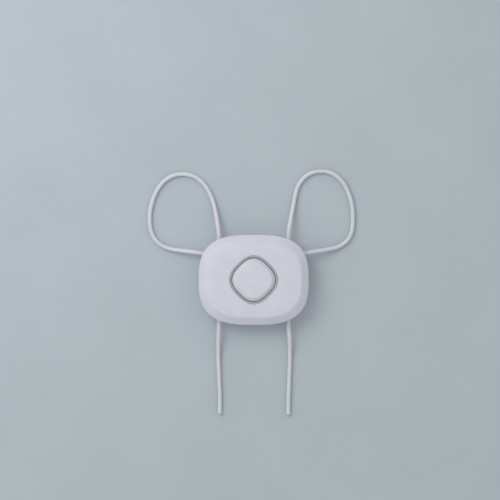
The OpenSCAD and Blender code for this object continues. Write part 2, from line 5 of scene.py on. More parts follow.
import bmesh
import bpy
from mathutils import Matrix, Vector


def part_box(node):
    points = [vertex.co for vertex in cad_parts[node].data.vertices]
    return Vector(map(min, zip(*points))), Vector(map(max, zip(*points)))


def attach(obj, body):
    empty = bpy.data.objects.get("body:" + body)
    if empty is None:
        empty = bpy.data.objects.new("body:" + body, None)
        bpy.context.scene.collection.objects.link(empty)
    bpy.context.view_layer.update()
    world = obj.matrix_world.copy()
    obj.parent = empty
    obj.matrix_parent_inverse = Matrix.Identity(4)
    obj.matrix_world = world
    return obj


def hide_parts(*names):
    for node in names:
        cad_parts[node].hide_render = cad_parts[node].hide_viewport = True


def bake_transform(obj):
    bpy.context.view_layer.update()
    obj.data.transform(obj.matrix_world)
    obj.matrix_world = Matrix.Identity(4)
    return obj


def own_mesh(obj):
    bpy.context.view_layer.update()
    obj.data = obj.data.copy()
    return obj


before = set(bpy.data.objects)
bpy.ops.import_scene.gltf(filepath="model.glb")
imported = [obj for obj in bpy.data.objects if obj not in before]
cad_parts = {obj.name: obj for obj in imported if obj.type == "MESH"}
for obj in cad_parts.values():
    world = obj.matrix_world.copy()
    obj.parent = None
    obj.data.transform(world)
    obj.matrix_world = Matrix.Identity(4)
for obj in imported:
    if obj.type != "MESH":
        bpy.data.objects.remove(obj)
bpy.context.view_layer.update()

MM = 0.001
QUARTER = math.pi / 2

# Sizes that the frame gives
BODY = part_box("front_cover")[1]
PART_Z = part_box("rear_cover")[1].z
FRONT_Z = BODY.z
BODY_LOW_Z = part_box("front_cover")[0].z
BUTTON_LOW, BUTTON_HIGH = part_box("decoy_button")
RING_LOW, RING_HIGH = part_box("button_trim_ring")
PIN_LOW, PIN_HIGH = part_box("right_cam_pin")
RELEASE_LOW, RELEASE_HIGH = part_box("right_release_button")
SLEEVE_LOW, SLEEVE_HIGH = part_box("right_cord_anchor")
SCREW_LOW, SCREW_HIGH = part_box("housing_screws")

# Outline of the housing and of the button, as squared ellipses
BODY_POWER = 2.9
BUTTON_POWER = 2.7
BUTTON_TURN = math.pi / 4
CORNER_REACH = 2 ** (0.5 - 1 / BUTTON_POWER)
AROUND = 200
SOFT_STEPS = 6
SLOPES = [QUARTER * k / SOFT_STEPS for k in range(SOFT_STEPS + 1)]
CREASE = 35
WELD = 0.0005 * MM
INSIDE_SOFT = 0.1 * MM
PART_SOFT = 0.25 * MM
SEAM = 0.3 * MM
SEAM_DEPTH = 0.9 * MM

# Front cover
RIM_Z = PART_Z + 1.9 * MM
BEVEL_W = 5.1 * MM
BEVEL_Z = RIM_Z + 4.3 * MM
CROWN_RUN = 8 * MM
CROWN_STEPS = 8
CEILING_Z = BEVEL_Z - 2 * MM
CEILING_INSET = 5.8 * MM
INNER_RIM_Z = 14.8 * MM
LIP_Z = PART_Z - 1.2 * MM
LIP_OUTER = 2.4 * MM
LIP_INNER = 3.6 * MM
FACE_STEPS = 6
RIB_SINK = 0.3 * MM
LIP_SOFT = 0.3 * MM
LIP_BACK = 1 * MM
RIM_SOFT = 0.9 * MM
BEVEL_SOFT = 0.7 * MM
SEAT_SOFT = 0.2 * MM
SEAT_RUN = 0.6 * MM

# Rear cover
REVEAL = 0.25 * MM
LEAN = 0.9 * MM
BACK_R = 3 * MM
WALL = 2 * MM
BACK_T = 2 * MM
BACK_STEPS = 10
INNER_SOFT = 0.6 * MM
OVERRUN = 1 * MM
FLOOR_SHARES = (0.75, 0.5, 0.25, 0.05)

# Decoy button and its ring
RING_HALF = RING_HIGH.x / CORNER_REACH
RING_GAP = 0.05 * MM
OPENING_HALF = RING_HALF - 1.45 * MM
COLLAR_HALF = OPENING_HALF + 1.5 * MM
COLLAR_Z = 12.6 * MM
RING_DIP = 0.2 * MM
RING_SOFT = 0.25 * MM
RING_EDGE_SOFT = 0.35 * MM
RING_JOIN_LOW = 0.5 * MM
RING_JOIN_HIGH = 1 * MM
FLANGE_HALF = BUTTON_HIGH.x / CORNER_REACH
FLANGE_T = 1.4 * MM
FLANGE_SOFT = 0.2 * MM
SKIRT_BACK = 1 * MM
BUTTON_HALF = FLANGE_HALF - 1.5 * MM
BUTTON_WALL = 1.5 * MM
SHOULDER_W = 2.2 * MM
SHOULDER_SOFT = 0.45 * MM
BROW_SOFT = 0.25 * MM
BUTTON_CROWN = 0.3 * MM
SHOULDER_Z = BUTTON_HIGH.z - BUTTON_CROWN - 2.2 * MM
CROWN_SHARES = (0.78, 0.65, 0.5, 0.3, 0.1)

# Cams and their pins
CAM = Vector(((PIN_LOW.x + PIN_HIGH.x) / 2, (PIN_LOW.y + PIN_HIGH.y) / 2, 0))
CAM_Z = 3.7 * MM
CAM_TOP_Z = 9.3 * MM
CAM_GAP = 0.15 * MM
PIN_R = (PIN_HIGH.x - PIN_LOW.x) / 2
PIN_GAP = 0.02 * MM
HUB_R = 2.6 * MM
PIN_BOSS_Z = 12.85 * MM
LEG_STOP_Y = 4.6 * MM
LEG_STOP_R = 0.6 * MM
ANVIL_T = 1.8 * MM
ANVIL_GAP = 0.3 * MM
ANVIL_RISE = 5 * MM
ANVIL_FALL = 7 * MM
RIDGE_R = 0.18 * MM
RIDGE_STEP = 1.6 * MM
TORSION_WIRE = 0.5 * MM
TORSION_R = PIN_R + TORSION_WIRE
TORSION_LOW = 9.7 * MM
TORSION_HIGH = 12.55 * MM
TORSION_TURNS = 3
TORSION_LEG = 5.4 * MM

# Release buttons
ARM_TIP_Y = CAM.y + 9 * MM
ARM_TIP_R = 1.2 * MM
NUB_X = CAM.x + ARM_TIP_R + 0.2 * MM
NUB_HALF_Z = 2 * MM
NUB_OVER = 0.5 * MM
RELEASE_IN = NUB_X + 0.95 * MM
RELEASE_OUT = RELEASE_IN + 1.4 * MM
PAD_X = RELEASE_OUT + 0.1 * MM
PAD_RIM = 1.2 * MM
RELEASE_HALF_Y = 8 * MM
RELEASE_HALF_Z = 3 * MM
RELEASE_GAP = 0.2 * MM
RELEASE_SOFT = 0.8 * MM
RELEASE_CORNER = 1.1 * MM
RELEASE_FACE_R = 120 * MM
FACE_SHARES = (0.25, 0.5, 0.75, 0.97)
LEAST_CORNER = 0.02 * MM
RELEASE_LOW_Y = CAM.y + HUB_R + 3.6 * MM
RELEASE_TRAVEL = 2.5 * MM
SPRING_Y = 4.8 * MM
RELEASE_WIRE = 0.45 * MM
RELEASE_COIL_R = 2.2 * MM - RELEASE_WIRE / 2
RELEASE_TURNS = 4.5
SEAT_T = 1.2 * MM
SEAT_HALF = 2.65 * MM
POST_R = 1.4 * MM

# Decoy button's spring
DECOY_WIRE = 0.7 * MM
DECOY_COIL_R = 4 * MM - DECOY_WIRE / 2
DECOY_TURNS = 5
DECOY_SEAT_Z = 6.2 * MM
DECOY_SEAT_TOP = 7.2 * MM
DECOY_SEAT_R = 4.9 * MM
DECOY_PAD_Z = 13.4 * MM
DECOY_PAD_R = 5 * MM
SPIGOT_R = 2.8 * MM
SPRING_GAP = 0.1 * MM
TURN_STEPS = 24
WIRE_SIDES = 10
LEG_STEPS = 6
END_DRAW = 0.25

# Screws
SCREWS = [Vector((x * MM, y * MM, 0)) for x in (-13, 13) for y in (-21, 21)]
SCREW_R = 1.5 * MM
HEAD_R = 2.7 * MM
HEAD_Z = SCREW_LOW.z
HEAD_SEAT_Z = HEAD_Z + 2 * MM
HEAD_GAP = 0.3 * MM
HEAD_SOFT = 0.6 * MM
HEAD_RIM = 0.35 * MM
SCREW_GAP = 0.2 * MM
PILOT_R = 1.25 * MM
REAR_BOSS_R = 4.2 * MM
FRONT_BOSS_R = 3.05 * MM
THREAD_PITCH = 1.2 * MM
THREAD_DEPTH = 0.4 * MM
THREAD_STEPS = 8
THREAD_SIDES = 24
RIDGE_SHARE = 0.3
POINT_SHARE = 0.25
DRIVE_L = 3.2 * MM
DRIVE_W = 0.9 * MM
DRIVE_DEPTH = 1 * MM

# Cords: their size, and the routes that they follow from the fixed end to the tail, in millimetres
CORD_D = 2.9 * MM
CORD_Z = 6.5 * MM
CORD_X = 24 * MM
CORD_SIDES = 20
CORD_STEP = 1 * MM
TIP_STEPS = 6
ANCHOR_Y = 18.4 * MM
BORE_R = CORD_D / 2 + 0.25 * MM
GUIDE_WALL = 0.9 * MM
GUIDE_R = BORE_R + GUIDE_WALL
MOUTH_R = 0.7 * MM
UPPER_GUIDE_Y = 13.5 * MM
LOWER_GUIDE_Y = -19.5 * MM
SLEEVE_ROOM = 0.1 * MM
CRADLE_WALL = 1.3 * MM
KEEPER_R = 1.4 * MM
KEEPER_FOOT_R = 2 * MM
LEFT_ROUTE = [
    (-27.75, 18.4, 6.5), (-35.5, 18.4, 6.5), (-41, 19.1, 6.4), (-46.5, 19.8, 5.4), (-52, 20.4, 3.7),
    (-57.5, 21.3, 2.2), (-62.5, 23.2, 1.55), (-66.8, 26.3, 1.55), (-69.8, 30.5, 1.55), (-71.5, 35.5, 1.55),
    (-72.1, 41, 1.55), (-71.7, 48, 1.55), (-70, 55, 1.55), (-67, 62, 1.55), (-62.8, 67.6, 1.55),
    (-57.5, 71.4, 1.55), (-51.5, 73.2, 1.55), (-45.5, 72.8, 1.55), (-40, 70.8, 1.55), (-35.5, 67.3, 1.55),
    (-32, 62.8, 1.55), (-29.6, 58, 1.55), (-27.6, 52, 2.1), (-26.2, 46, 3.5), (-25.2, 40, 5.4),
    (-24.3, 34, 6.4), (-24, 28, 6.5), (-24, 0, 6.5), (-24, -28, 6.5), (-24.1, -34, 6.4),
    (-24.4, -40, 5.4), (-24.5, -46, 3.5), (-24.5, -52, 2.1), (-24.4, -58, 1.55), (-24.1, -65, 1.55),
    (-23.8, -72, 1.55), (-23.5, -79, 1.55), (-23.5, -86, 1.55), (-23.5, -91.8, 1.55)]
RIGHT_ROUTE = [
    (27.75, 18.4, 6.5), (35.5, 18.4, 6.5), (41, 19.4, 6.4), (46.5, 20.2, 5.4), (52, 21.2, 3.7),
    (57.5, 22.5, 2.2), (62, 24.8, 1.55), (65.5, 28.2, 1.55), (67.7, 32.8, 1.55), (68.6, 38.5, 1.55),
    (68.7, 45, 1.55), (67.9, 52.4, 1.55), (65.9, 59.6, 1.55), (62.6, 66.4, 1.55), (57.8, 71.6, 1.55),
    (51.8, 74.6, 1.55), (45.4, 75.2, 1.55), (39.2, 73.6, 1.55), (34.2, 70, 1.55), (30.8, 65, 1.55),
    (28.9, 59, 1.55), (27.6, 52, 2.1), (26.4, 46, 3.5), (25.3, 40, 5.4), (24.3, 34, 6.4),
    (24, 28, 6.5), (24, 0, 6.5), (24, -28, 6.5), (24.2, -34, 6.4), (24.8, -40, 5.4),
    (25, -46, 3.5), (25, -52, 2.1), (25, -58, 1.55), (24.7, -65, 1.55), (24.5, -72, 1.55),
    (24.2, -79, 1.55), (24, -86, 1.55), (24, -92.5, 1.55)]

# The view: what the picture spans at the height of the rim, and the point that it is centred on
VIEW_SPAN = 345 * MM
VIEW_CENTRE = Vector((-2.55 * MM, 20.6 * MM, 14 * MM))
VIEW_DISTANCE = 3.0
SENSOR = 36

# The floor and the light
FLOOR_HALF = 6.0
FLOOR_Z = -0.05 * MM
SKY_COLOUR = (0.97, 0.98, 1.0, 1.0)
SKY_STRENGTH = 0.71
KEY_PLACE = (-0.401, 0.335, 0.616)
KEY_SIZE = 0.5
KEY_POWER = 2.43

# Finishes: the feature sizes of colour, gloss and grain, the drift of the gloss and the relief of the grain
MOTTLE_SPAN = (0.35, 0.65)
GLOSS_SPAN = (0.3, 0.7)
MOULD = {
    "mottle": 9 * MM, "gloss": 1.2 * MM, "drift": (-0.05, 0.07),
    "grain": 0.16 * MM, "depth": 0.012 * MM, "bump": 0.5}
METAL = {
    "mottle": 1.5 * MM, "gloss": 0.6 * MM, "drift": (-0.06, 0.1),
    "grain": 0.05 * MM, "depth": 0.004 * MM, "bump": 0.4}
COAT = {
    "mottle": 14 * MM, "gloss": 2 * MM, "drift": (-0.06, 0.08),
    "grain": 0.3 * MM, "depth": 0.02 * MM, "bump": 0.45}
FLOOR_MOTTLE = 60 * MM


# Shapes

def polar_ring(half_x, half_y, power, z, turn=0.0):
    """Points of a squared ellipse, at equal angles as seen from the middle."""
    points = []
    for i in range(AROUND):
        a = 2 * math.pi * i / AROUND
        c = abs(math.cos(a - turn)) / half_x
        s = abs(math.sin(a - turn)) / half_y
        r = (c ** power + s ** power) ** (-1 / power)
        points.append(Vector((r * math.cos(a), r * math.sin(a), z)))
    return points


def body_ring(inset, z):
    return polar_ring(BODY.x - inset, BODY.y - inset, BODY_POWER, z)


def diamond_ring(half, z):
    return polar_ring(half, half, BUTTON_POWER, z, BUTTON_TURN)


def between(first, last, steps):
    """Rings that lead from one ring to another, without either."""
    shares = [k / steps for k in range(1, steps)]
    return [[p.lerp(q, s) for p, q in zip(first, last)] for s in shares]


def towards_middle(ring, shares):
    """Smaller copies of a flat ring, for a floor."""
    return [[Vector((p.x * s, p.y * s, p.z)) for p in ring] for s in shares]


def soften(corners):
    """A line through (across, height, reach) corners, each rounded from its reach on either side."""
    line = []
    for i, (across, height, reach) in enumerate(corners):
        here = Vector((across, height))
        if reach == 0:
            line.append(here)
            continue
        start = here + (Vector(corners[i - 1][:2]) - here).normalized() * reach
        end = here + (Vector(corners[i + 1][:2]) - here).normalized() * reach
        for k in range(SOFT_STEPS + 1):
            t = k / SOFT_STEPS
            line.append((1 - t) ** 2 * start + 2 * t * (1 - t) * here + t ** 2 * end)
    return line


def smooth_path(points, step):
    """A smooth line through points, sampled about once a step."""
    spans = [(b - a).length for a, b in zip(points, points[1:])]
    slopes = [(b - a) / h for a, b, h in zip(points, points[1:], spans)]
    inner = [(m * k + n * h) / (h + k) for m, n, h, k in zip(slopes, slopes[1:], spans, spans[1:])]
    tangents = [slopes[0]] + inner + [slopes[-1]]
    line = []
    for i, h in enumerate(spans):
        count = max(1, round(h / step))
        for k in range(count):
            t = k / count
            line.append(
                (1 + 2 * t) * (1 - t) ** 2 * points[i] + t * (1 - t) ** 2 * h * tangents[i]
                + t * t * (3 - 2 * t) * points[i + 1] + t * t * (t - 1) * h * tangents[i + 1])
    return line + [points[-1]]


def within(point, low, high):
    """The point, moved no further out than a box's sides."""
    return Vector([min(max(v, a), b) for v, a, b in zip(point, low, high)])


def tube_rings(path, radii, sides):
    """Rings along a path, each square to it and turned as little as can be from the last."""
    rings = []
    last = len(path) - 1
    side = None
    for i, p in enumerate(path):
        ahead = (path[min(i + 1, last)] - path[max(i - 1, 0)]).normalized()
        side = ahead.orthogonal() if side is None else side - ahead * side.dot(ahead)
        side.normalize()
        up = ahead.cross(side)
        turns = [2 * math.pi * k / sides for k in range(sides)]
        rings.append([p + radii[i] * (math.cos(a) * side + math.sin(a) * up) for a in turns])
    return rings


def finish_object(name, mesh_data):
    """An object from a bmesh, shaded smooth up to a crease angle."""
    bmesh.ops.recalc_face_normals(mesh_data, faces=mesh_data.faces)
    mesh = bpy.data.meshes.new(name)
    mesh_data.to_mesh(mesh)
    mesh_data.free()
    mesh.shade_smooth()
    mesh.set_sharp_from_angle(angle=math.radians(CREASE))
    piece = bpy.data.objects.new(name, mesh)
    bpy.context.scene.collection.objects.link(piece)
    return piece


def loft(name, rings, loop=False):
    """A closed surface through rings: with flat ends, or with its last ring joined to the first."""
    made = bmesh.new()
    rows = [[made.verts.new(p) for p in ring] for ring in rings]
    pairs = list(zip(rows, rows[1:]))
    if loop:
        pairs.append((rows[-1], rows[0]))
    for low, high in pairs:
        for i in range(len(low)):
            j = (i + 1) % len(low)
            made.faces.new((low[i], low[j], high[j], high[i]))
    if not loop:
        made.faces.new(rows[0])
        made.faces.new(rows[-1])
    return finish_object(name, made)


def turned(name, start, axis, profile, sides=48):
    """A turned shape, from (along, radius) pairs."""
    axis = Vector(axis).normalized()
    side = axis.orthogonal().normalized()
    up = axis.cross(side)
    turns = [2 * math.pi * k / sides for k in range(sides)]
    return loft(name, [
        [start + axis * along + radius * (math.cos(a) * side + math.sin(a) * up) for a in turns]
        for along, radius in profile])


def drum(start, end, radius):
    way = end - start
    return turned("drum", start, way, [(0, radius), (way.length, radius)])


def drum_z(place, low, high, radius):
    return drum(Vector((place.x, place.y, low)), Vector((place.x, place.y, high)), radius)


def flared_bore(start, mouth, radius):
    """A bore whose edge is rounded where it opens at the mouth."""
    way = mouth - start
    lip_z = way.length - MOUTH_R
    lip = [(lip_z + MOUTH_R * math.sin(a), radius + MOUTH_R * (1 - math.cos(a))) for a in SLOPES]
    end = (way.length + OVERRUN, radius + MOUTH_R)
    return turned("bore", start, way, [(0, radius)] + lip + [end])


def block(low, high):
    corners = [(low[0], low[1]), (high[0], low[1]), (high[0], high[1]), (low[0], high[1])]
    return loft("block", [[Vector((x, y, z)) for x, y in corners] for z in (low[2], high[2])])


def rounded_rect(half_y, half_z, corner):
    """Points of a rectangle with round corners, as seen along X."""
    points = []
    for k, (y_sign, z_sign) in enumerate(((1, 1), (-1, 1), (-1, -1), (1, -1))):
        for i in range(SOFT_STEPS + 1):
            a = QUARTER * (k + i / SOFT_STEPS)
            y = y_sign * (half_y - corner) + corner * math.cos(a)
            z = z_sign * (half_z - corner) + corner * math.sin(a)
            points.append((y, z))
    return points


def mirrored(pieces):
    """Adds the left-hand twins of pieces that were made for the right."""
    twins = []
    for piece in pieces:
        made = bmesh.new()
        made.from_mesh(piece.data)
        for vert in made.verts:
            vert.co.x = -vert.co.x
        bmesh.ops.reverse_faces(made, faces=made.faces)
        twins.append(finish_object(piece.name, made))
    return pieces + twins


def carve(piece, others, operation):
    """Cuts other shapes from a piece, joins them to it or keeps what they share, and removes them."""
    group = bpy.data.collections.new("operands")
    for other in others:
        group.objects.link(other)
    change = piece.modifiers.new("carve", "BOOLEAN")
    change.operation = operation
    change.operand_type = "COLLECTION"
    change.collection = group
    change.solver = "EXACT"
    graph = bpy.context.evaluated_depsgraph_get()
    mesh = bpy.data.meshes.new_from_object(piece.evaluated_get(graph))
    piece.modifiers.clear()
    piece.data = mesh
    for other in others:
        bpy.data.objects.remove(other)
    bpy.data.collections.remove(group)
    made = bmesh.new()
    made.from_mesh(mesh)
    bmesh.ops.remove_doubles(made, verts=made.verts, dist=WELD)
    bmesh.ops.dissolve_degenerate(made, edges=made.edges, dist=WELD)
    made.to_mesh(mesh)
    made.free()
    mesh.shade_smooth()
    mesh.set_sharp_from_angle(angle=math.radians(CREASE))
    return piece


def merged(name, pieces):
    """One object from pieces that lie apart."""
    made = bmesh.new()
    for piece in pieces:
        made.from_mesh(piece.data)
        bpy.data.objects.remove(piece)
    return finish_object(name, made)


# Materials

def new_material(name, roughness, metallic=0.0, specular=0.5):
    material = bpy.data.materials.new(name)
    material.use_nodes = True
    shader = material.node_tree.nodes["Principled BSDF"]
    shader.inputs["Roughness"].default_value = roughness
    shader.inputs["Metallic"].default_value = metallic
    shader.inputs["Specular IOR Level"].default_value = specular
    return material


def linear(colour):
    """A colour given in 0 to 255, as the shader takes it."""
    shares = [c / 255 for c in colour]
    return [s / 12.92 if s <= 0.04045 else ((s + 0.055) / 1.055) ** 2.4 for s in shares] + [1.0]


def noise(material, size, detail=3.0):
    """A noise whose features are about size metres."""
    nodes, links = material.node_tree.nodes, material.node_tree.links
    where = nodes.new("ShaderNodeTexCoord")
    mapping = nodes.new("ShaderNodeMapping")
    mapping.inputs["Scale"].default_value = [1 / size] * 3
    texture = nodes.new("ShaderNodeTexNoise")
    texture.inputs["Scale"].default_value = 1.0
    texture.inputs["Detail"].default_value = detail
    links.new(where.outputs["Object"], mapping.inputs["Vector"])
    links.new(mapping.outputs["Vector"], texture.inputs["Vector"])
    return texture.outputs["Fac"]


def mottle(material, low, high, size):
    """Base colour that drifts between two close colours."""
    nodes, links = material.node_tree.nodes, material.node_tree.links
    ramp = nodes.new("ShaderNodeValToRGB")
    ramp.color_ramp.elements[0].position = MOTTLE_SPAN[0]
    ramp.color_ramp.elements[0].color = linear(low)
    ramp.color_ramp.elements[1].position = MOTTLE_SPAN[1]
    ramp.color_ramp.elements[1].color = linear(high)
    links.new(noise(material, size), ramp.inputs["Fac"])
    links.new(ramp.outputs["Color"], nodes["Principled BSDF"].inputs["Base Color"])


def vary_roughness(material, low, high, size):
    nodes, links = material.node_tree.nodes, material.node_tree.links
    spread = nodes.new("ShaderNodeMapRange")
    spread.inputs["From Min"].default_value = GLOSS_SPAN[0]
    spread.inputs["From Max"].default_value = GLOSS_SPAN[1]
    spread.inputs["To Min"].default_value = low
    spread.inputs["To Max"].default_value = high
    links.new(noise(material, size), spread.inputs["Value"])
    links.new(spread.outputs["Result"], nodes["Principled BSDF"].inputs["Roughness"])


def grain(material, size, depth, strength):
    """A fine bump, as a mould or a die leaves it."""
    nodes, links = material.node_tree.nodes, material.node_tree.links
    bump = nodes.new("ShaderNodeBump")
    bump.inputs["Strength"].default_value = strength
    bump.inputs["Distance"].default_value = depth
    links.new(noise(material, size, detail=4.0), bump.inputs["Height"])
    links.new(bump.outputs["Normal"], nodes["Principled BSDF"].inputs["Normal"])


def surface(material, low, high, roughness, sizes):
    """The drift of colour, gloss and grain that a finish's sizes give."""
    smoothest, roughest = [roughness + d for d in sizes["drift"]]
    mottle(material, low, high, sizes["mottle"])
    vary_roughness(material, smoothest, roughest, sizes["gloss"])
    grain(material, sizes["grain"], sizes["depth"], sizes["bump"])
    return material


def moulded_plastic(name, low, high, roughness):
    return surface(new_material(name, roughness), low, high, roughness, MOULD)


def steel(name, low, high, roughness):
    return surface(new_material(name, roughness, metallic=1.0), low, high, roughness, METAL)


def coated_cord(name, low, high, roughness):
    return surface(new_material(name, roughness), low, high, roughness, COAT)


def dress(piece, material, body, node):
    """Gives a piece its material and the body that it rides on, and hides the node that it stands for."""
    piece.data.materials.append(material)
    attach(piece, body)
    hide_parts(node)
    return piece


# Camera, floor and light

def make_camera():
    data = bpy.data.cameras.new("camera")
    data.sensor_width = SENSOR
    data.lens = SENSOR * VIEW_DISTANCE / VIEW_SPAN
    data.clip_end = 4 * VIEW_DISTANCE
    camera = bpy.data.objects.new("camera", data)
    camera.location = VIEW_CENTRE + Vector((0, 0, VIEW_DISTANCE))
    bpy.context.scene.collection.objects.link(camera)
    bpy.context.scene.camera = camera


def make_floor():
    made = bmesh.new()
    corners = [(-1, -1), (1, -1), (1, 1), (-1, 1)]
    made.faces.new([made.verts.new((x * FLOOR_HALF, y * FLOOR_HALF, FLOOR_Z)) for x, y in corners])
    floor = finish_object("floor", made)
    material = new_material("floor", 0.75, specular=0.2)
    mottle(material, (175, 186, 190), (178, 189, 193), FLOOR_MOTTLE)
    floor.data.materials.append(material)


def area_light(name, place, size, power):
    data = bpy.data.lights.new(name, "AREA")
    data.size = size
    data.energy = power
    lamp = bpy.data.objects.new(name, data)
    lamp.location = place
    lamp.rotation_euler = (-Vector(place)).to_track_quat("-Z", "Y").to_euler()
    bpy.context.scene.collection.objects.link(lamp)


def make_light():
    world = bpy.data.worlds.new("studio")
    world.use_nodes = True
    sky = world.node_tree.nodes["Background"]
    sky.inputs["Color"].default_value = SKY_COLOUR
    sky.inputs["Strength"].default_value = SKY_STRENGTH
    bpy.context.scene.world = world
    area_light("key", KEY_PLACE, KEY_SIZE, KEY_POWER)


# Cords

def make_cord(name, route, node, material):
    points = [Vector(p) * MM for p in route]
    radius = CORD_D / 2
    low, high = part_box(node)
    margin = Vector((radius, radius, radius))
    path = [within(p, low + margin, high - margin) for p in smooth_path(points, CORD_STEP)]
    ahead = (path[-1] - path[-2]).normalized()
    slopes = [QUARTER * k / TIP_STEPS for k in range(1, TIP_STEPS)]
    tip = [path[-1] + ahead * radius * math.sin(a) for a in slopes]
    radii = [radius] * len(path) + [radius * math.cos(a) for a in slopes]
    piece = loft(name, tube_rings(path + tip, radii, CORD_SIDES))
    dress(piece, material, "housing", node)
    return piece


# Front cover

def crown_height(share):
    """Height of the crowned front, from the bevel to where it runs level."""
    return FRONT_Z - (FRONT_Z - BEVEL_Z) * (1 - share) ** 2


def front_shell(material):
    outer = soften([
        (LIP_INNER, LIP_Z + LIP_BACK, 0), (LIP_INNER, LIP_Z, LIP_SOFT), (LIP_OUTER, LIP_Z, LIP_SOFT),
        (LIP_OUTER, PART_Z, INSIDE_SOFT), (SEAM_DEPTH, PART_Z, INSIDE_SOFT),
        (SEAM_DEPTH, PART_Z + SEAM, INSIDE_SOFT), (0, PART_Z + SEAM, PART_SOFT), (0, RIM_Z, RIM_SOFT),
        (BEVEL_W, BEVEL_Z, BEVEL_SOFT),
        (BEVEL_W + CROWN_RUN / CROWN_STEPS, crown_height(1 / CROWN_STEPS), 0)])
    crown = [Vector((BEVEL_W + CROWN_RUN * s, crown_height(s)))
        for s in [k / CROWN_STEPS for k in range(2, CROWN_STEPS + 1)]]
    seat_half = RING_HALF + RING_GAP
    seat = soften([
        (seat_half + SEAT_RUN, FRONT_Z, 0), (seat_half, FRONT_Z, SEAT_SOFT),
        (seat_half, RING_LOW.z, INSIDE_SOFT), (OPENING_HALF, RING_LOW.z, INSIDE_SOFT),
        (OPENING_HALF, COLLAR_Z, SEAT_SOFT), (COLLAR_HALF, COLLAR_Z, SEAT_SOFT), (COLLAR_HALF, CEILING_Z, 0)])
    inner = [Vector((CEILING_INSET, CEILING_Z)), Vector((LIP_INNER, INNER_RIM_Z))]
    outer_rings = [body_ring(p.x, p.y) for p in outer + crown]
    seat_rings = [diamond_ring(p.x, p.y) for p in seat]
    inner_rings = [body_ring(p.x, p.y) for p in inner]
    rings = (
        outer_rings + between(outer_rings[-1], seat_rings[0], FACE_STEPS)
        + seat_rings + between(seat_rings[-1], inner_rings[0], FACE_STEPS) + inner_rings)
    piece = loft("front_shell", rings, loop=True)
    keeper = Vector(((SLEEVE_LOW.x + SLEEVE_HIGH.x) / 2, ANCHOR_Y, 0))
    posts = mirrored([
        drum_z(CAM, PIN_BOSS_Z, FRONT_Z, HUB_R),
        drum_z(keeper, PART_Z, FRONT_Z, KEEPER_FOOT_R)])
    posts += [drum_z(screw, PART_Z, FRONT_Z, FRONT_BOSS_R) for screw in SCREWS]
    room = loft("room", [
        body_ring(LIP_INNER - RIB_SINK, PART_Z - OVERRUN),
        body_ring(LIP_INNER - RIB_SINK, INNER_RIM_Z + RIB_SINK),
        body_ring(CEILING_INSET - RIB_SINK, CEILING_Z + RIB_SINK)])
    ribs = carve(merged("ribs", posts), [room], "INTERSECT")
    carve(piece, [ribs] + mirrored([drum_z(keeper, BODY_LOW_Z, RIM_Z, KEEPER_R)]), "UNION")
    holes = mirrored([drum_z(CAM, PIN_BOSS_Z - OVERRUN, PIN_HIGH.z + SPRING_GAP, PIN_R + PIN_GAP)])
    holes += [drum_z(screw, PART_Z - OVERRUN, SCREW_HIGH.z + SCREW_GAP, PILOT_R) for screw in SCREWS]
    carve(piece, holes, "DIFFERENCE")
    return dress(piece, material, "housing", "front_cover")


# Rear cover

def rear_outer():
    foot = REVEAL + LEAN + BACK_R
    slopes = [QUARTER * k / BACK_STEPS for k in range(BACK_STEPS + 1)]
    profile = [Vector((foot - BACK_R * math.sin(a), BACK_R - BACK_R * math.cos(a))) for a in slopes]
    profile += soften([
        (REVEAL + LEAN / 2, (PART_Z + BACK_R) / 2, 0), (REVEAL, PART_Z, PART_SOFT),
        (REVEAL + WALL / 2, PART_Z, 0)])
    rings = [body_ring(p.x, p.y) for p in profile]
    bottom = towards_middle(rings[0], reversed(FLOOR_SHARES))
    return loft("rear_shell", bottom + rings + towards_middle(rings[-1], FLOOR_SHARES))


def rear_cavity():
    side = REVEAL + LEAN + WALL
    profile = soften([
        (side + 2 * INNER_SOFT, BACK_T, 0), (side, BACK_T, INNER_SOFT), (REVEAL + WALL, LIP_Z, 0),
        (REVEAL + WALL, PART_Z + OVERRUN, 0)])
    return loft("cavity", [body_ring(p.x, p.y) for p in profile])


